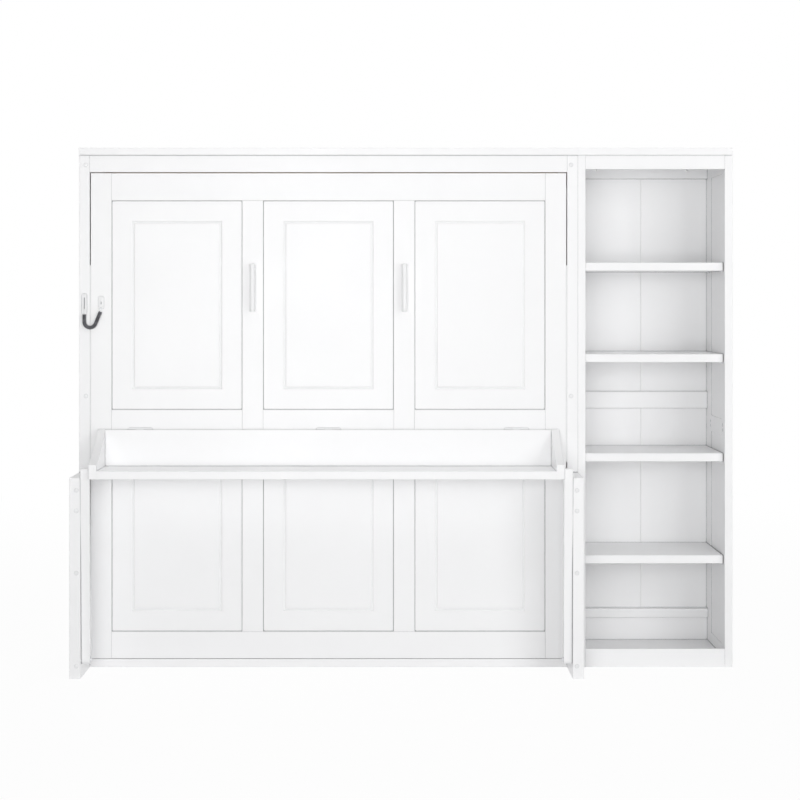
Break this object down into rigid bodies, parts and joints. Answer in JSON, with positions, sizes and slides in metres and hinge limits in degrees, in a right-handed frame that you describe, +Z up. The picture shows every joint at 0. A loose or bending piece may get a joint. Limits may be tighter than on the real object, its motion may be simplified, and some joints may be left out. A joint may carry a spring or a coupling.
{
  "type": "wall bed with fold down desk",
  "caption": "Tall white wall bed whose panelled front folds down over a desk that stays level, with an open bookcase beside it.",
  "frame": {"origin": "middle of the footprint, on the floor", "axes": "+X along the width towards the bookcase, +Y from the front to the wall, +Z up"},
  "size_m": [2.744, 0.686, 2.18],
  "materials": {
    "painted_board": "white satin lacquer on board",
    "timber": "bare planed softwood",
    "painted_metal": "white powder coat",
    "cap_plastic": "moulded white plastic",
    "zinc_steel": "zinc plated",
    "nylon": "natural nylon",
    "sleeve": "soft black tube"
  },
  "bodies": {
    "cabinet": {"side_upper_left": "painted_board", "side_upper_right": "painted_board", "side_lower_left": "painted_board", "side_lower_right": "painted_board", "bed_top_board": "painted_board", "header_rail": "painted_board", "toe_rail": "painted_board", "stop_strips": "painted_board", "bookcase_side_left": "painted_board", "bookcase_stile_front": "painted_board", "bookcase_stile_rear": "painted_board", "bookcase_side_rails": "painted_board", "bookcase_side_panels": "painted_board", "bookcase_top": "painted_board", "bookcase_header": "painted_board", "bookcase_plinth": "painted_board", "bookcase_floor": "painted_board", "shelf_1": "painted_board", "shelf_2": "painted_board", "shelf_3": "painted_board", "shelf_4": "painted_board", "bookcase_back_sheets": "painted_board", "bookcase_back_rails": "painted_board", "wall_rails": "timber", "side_dowels": "timber", "chain_track": "painted_metal", "screw_caps": "cap_plastic", "arm_pivot_bolts": "zinc_steel", "shelf_pins": "zinc_steel", "cam_locks": "zinc_steel", "pivot_bushes": "nylon"},
    "bed": {"face_stiles_outer": "painted_board", "face_stiles_inner": "painted_board", "face_top_rail": "painted_board", "face_mid_rails": "painted_board", "face_bottom_rail": "painted_board", "face_panels_upper": "painted_board", "face_panels_lower": "painted_board", "bed_rail_left": "timber", "bed_rail_right": "timber", "bed_end_rails": "timber", "slat_bearers": "timber", "bed_slats": "timber", "pivot_plates": "zinc_steel", "leg_brackets": "painted_metal", "chain_anchor": "painted_metal", "chain_sleeve": "sleeve", "hinge_leaves_bed": "painted_metal", "hinge_pins": "zinc_steel"},
    "desk": {"desk_board": "painted_board", "desk_back": "painted_board", "desk_cheek_left": "painted_board", "desk_cheek_right": "painted_board", "hinge_leaves_desk": "painted_metal", "desk_pivot_studs": "zinc_steel"},
    "arm_left": {"arm_left": "painted_board"},
    "arm_right": {"arm_right": "painted_board"},
    "leg_left": {"handle_leg_left": "painted_metal"},
    "leg_right": {"handle_leg_right": "painted_metal"},
    "chain_slider": {"chain_slider": "painted_metal"}
  },
  "joints": [
    {"name": "bed_fold", "type": "hinge", "parent": "cabinet", "child": "bed", "pos_m": [-0.3245, -0.07, 0.246], "axis": [1, 0, 0], "range_deg": [0, 90]},
    {"name": "desk_level", "type": "hinge", "parent": "bed", "child": "desk", "pos_m": [-0.3245, -0.0935, 1.0015], "axis": [1, 0, 0], "range_deg": [-90, 0]},
    {"name": "arm_left_swing", "type": "hinge", "parent": "cabinet", "child": "arm_left", "pos_m": [-1.309, -0.289, 0.0715], "axis": [1, 0, 0], "range_deg": [0, 90]},
    {"name": "arm_right_swing", "type": "hinge", "parent": "cabinet", "child": "arm_right", "pos_m": [0.66, -0.289, 0.0715], "axis": [1, 0, 0], "range_deg": [0, 90]},
    {"name": "leg_left_swing", "type": "hinge", "parent": "bed", "child": "leg_left", "pos_m": [-0.64267, -0.12, 1.688], "axis": [1, 0, 0], "range_deg": [-90, 0]},
    {"name": "leg_right_swing", "type": "hinge", "parent": "bed", "child": "leg_right", "pos_m": [-0.00633, -0.12, 1.688], "axis": [1, 0, 0], "range_deg": [-90, 0]},
    {"name": "chain_slide", "type": "slide", "parent": "cabinet", "child": "chain_slider", "axis": [0, 0, 1], "range_m": [0, 0.046]}
  ],
  "couplings": [
    {"joint": "desk_level", "follows": "bed_fold", "ratio": -1},
    {"joint": "arm_left_swing", "follows": "bed_fold", "ratio": 1},
    {"joint": "arm_right_swing", "follows": "bed_fold", "ratio": 1}
  ]
}
